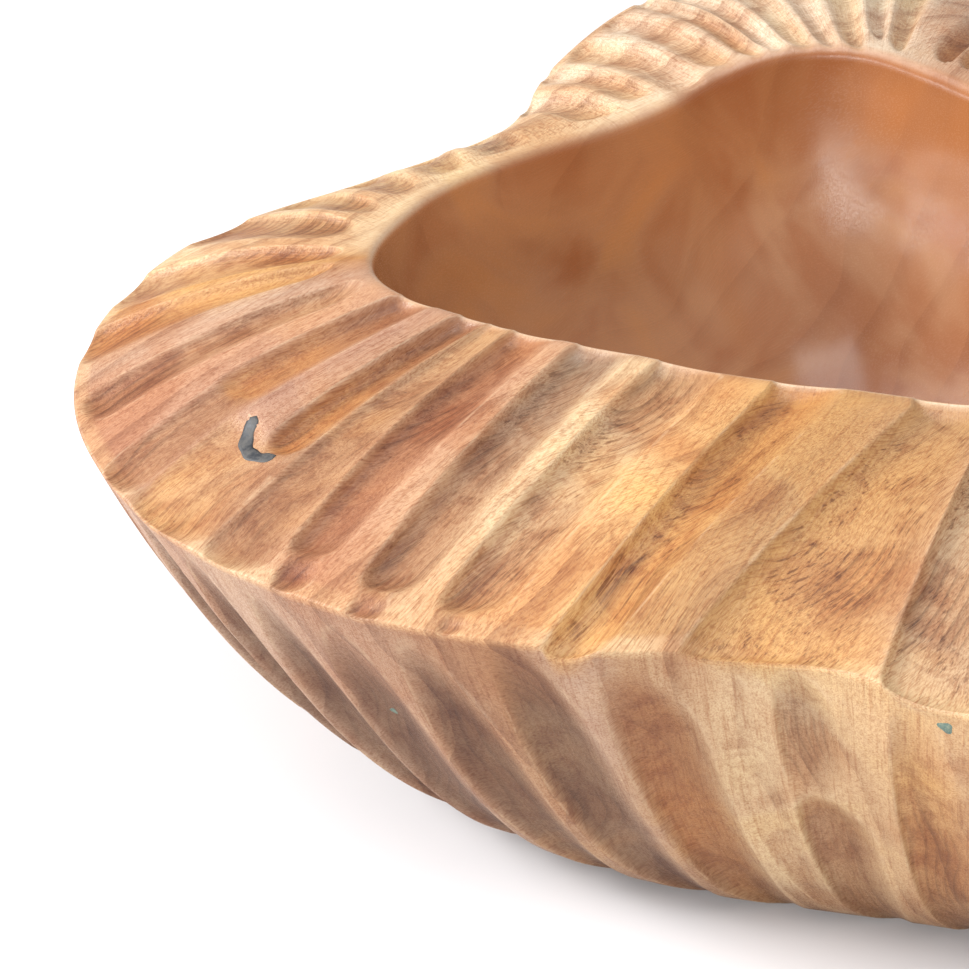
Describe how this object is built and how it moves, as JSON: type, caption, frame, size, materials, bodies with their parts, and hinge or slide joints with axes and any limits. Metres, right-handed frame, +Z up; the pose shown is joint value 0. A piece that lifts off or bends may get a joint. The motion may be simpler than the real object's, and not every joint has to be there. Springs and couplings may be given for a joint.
{
  "type": "carved wooden bowl",
  "caption": "Free-form carved wooden bowl with soft lobes, a broad gouged rim, a crisp outer ridge, a smooth hollow and a flat foot.",
  "frame": {"origin": "on the resting plane of the flat foot, on the vertical axis of the hollow", "axes": "+Z up, out of the mouth; the widest lobe points to -X and the longest side of the outline lies along X"},
  "size_m": [0.3812, 0.3307, 0.1172],
  "materials": {
    "timber": "satin",
    "grey_filler": "satin",
    "teal_filler": "satin"
  },
  "bodies": {
    "root": {"bowl_body": "timber", "check_filler": "grey_filler", "stain_plugs": "teal_filler"}
  },
  "joints": []
}
